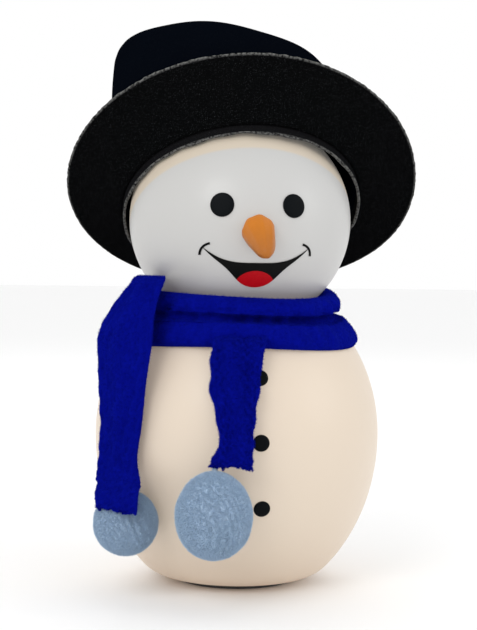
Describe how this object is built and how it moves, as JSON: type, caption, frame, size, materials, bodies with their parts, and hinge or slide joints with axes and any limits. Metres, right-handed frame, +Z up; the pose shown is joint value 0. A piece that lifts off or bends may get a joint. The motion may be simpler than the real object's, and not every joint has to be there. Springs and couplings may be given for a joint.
{
  "type": "snowman yard light",
  "caption": "Rigid frosted snowman lamp on a flat battery base, with a tilted felt hat, a fleece scarf with hanging pompom tails and a carrot nose.",
  "frame": {"origin": "centre of the foot ring's underside, on the surface the lamp stands on", "axes": "+Z up through the body and head; the face looks along -Y; the snowman's right hand side is -X"},
  "size_m": [0.2143, 0.2445, 0.3385],
  "materials": {
    "lit_body": "frosted, lit from inside, warm",
    "lit_head": "frosted, lit from inside",
    "collar": "frosted",
    "nose_orange": "satin, carved facets",
    "print_black": "printed ink",
    "print_red": "printed ink",
    "bead_black": "gloss",
    "base_grey": "moulded, fine texture",
    "switch_black": "moulded",
    "steel": "plated",
    "cell_jacket": "satin sleeve",
    "board_green": "solder mask",
    "led_lens": "clear",
    "reflector_white": "gloss",
    "wire_jacket": "insulation",
    "black_felt": "pressed felt",
    "lining_felt": "pressed felt",
    "stuffing": "wadding",
    "blue_fleece": "brushed fleece",
    "plush": "plush pile",
    "yarn": "twisted yarn"
  },
  "bodies": {
    "root": {"body_shell": "lit_body", "head_shell": "lit_head", "neck_collar": "collar", "nose": "nose_orange", "nose_washer": "base_grey", "eye_left": "bead_black", "eye_right": "bead_black", "mouth_print": "print_black", "tongue_print": "print_red", "coat_button_top": "bead_black", "coat_button_middle": "bead_black", "coat_button_bottom": "bead_black", "foot_ring": "base_grey", "base_plate": "base_grey", "base_screws": "steel", "battery_holder": "base_grey", "battery_cells": "cell_jacket", "top_contact_plate": "steel", "switch_housing": "switch_black", "lamp_post": "base_grey", "lamp_board": "board_green", "board_screws": "steel", "leds": "led_lens", "reflector": "reflector_white", "lead_wires": "wire_jacket", "scarf_wrap": "blue_fleece"},
    "cap": {"battery_cap": "base_grey", "cap_contact_plate": "steel", "battery_springs": "steel"},
    "knob": {"switch_knob": "switch_black"},
    "hat": {"hat_crown": "black_felt", "hat_crown_top": "black_felt", "hat_lip_band": "lining_felt", "crown_stuffing": "stuffing", "hat_brim": "black_felt"},
    "left_tail": {"scarf_tail_left": "blue_fleece"},
    "centre_tail": {"scarf_tail_centre": "blue_fleece"},
    "left_pompom": {"pompom_left": "plush", "pompom_tie_left": "yarn"},
    "centre_pompom": {"pompom_centre": "plush", "pompom_tie_centre": "yarn"}
  },
  "joints": [
    {"name": "switch_slide", "type": "slide", "parent": "root", "child": "knob", "axis": [1, 0, 0], "range_m": [0, 0.0035]},
    {"name": "battery_cap_twist", "type": "hinge", "parent": "root", "child": "cap", "pos_m": [0, 0, 0.004], "axis": [0, 0, 1], "range_deg": [0, 40]},
    {"name": "hat_lift", "type": "slide", "parent": "root", "child": "hat", "axis": [0, 0.6293, 0.7771], "range_m": [0, 0.09]},
    {"name": "tail_left_swing", "type": "hinge", "parent": "root", "child": "left_tail", "pos_m": [-0.0573, -0.04808, 0.168], "axis": [-0.6428, 0.766, 0], "range_deg": [0, 80]},
    {"name": "tail_centre_swing", "type": "hinge", "parent": "root", "child": "centre_tail", "pos_m": [-0.01406, -0.07235, 0.141], "axis": [-0.9816, 0.1908, 0], "range_deg": [0, 80]},
    {"name": "pompom_left_swing", "type": "hinge", "parent": "left_tail", "child": "left_pompom", "pos_m": [-0.0679, -0.05959, 0.0629], "axis": [-0.6428, 0.766, 0], "range_deg": [0, 25]},
    {"name": "pompom_centre_swing", "type": "hinge", "parent": "centre_tail", "child": "centre_pompom", "pos_m": [-0.02758, -0.09684, 0.0789], "axis": [-0.9816, 0.1908, 0], "range_deg": [0, 25]}
  ]
}
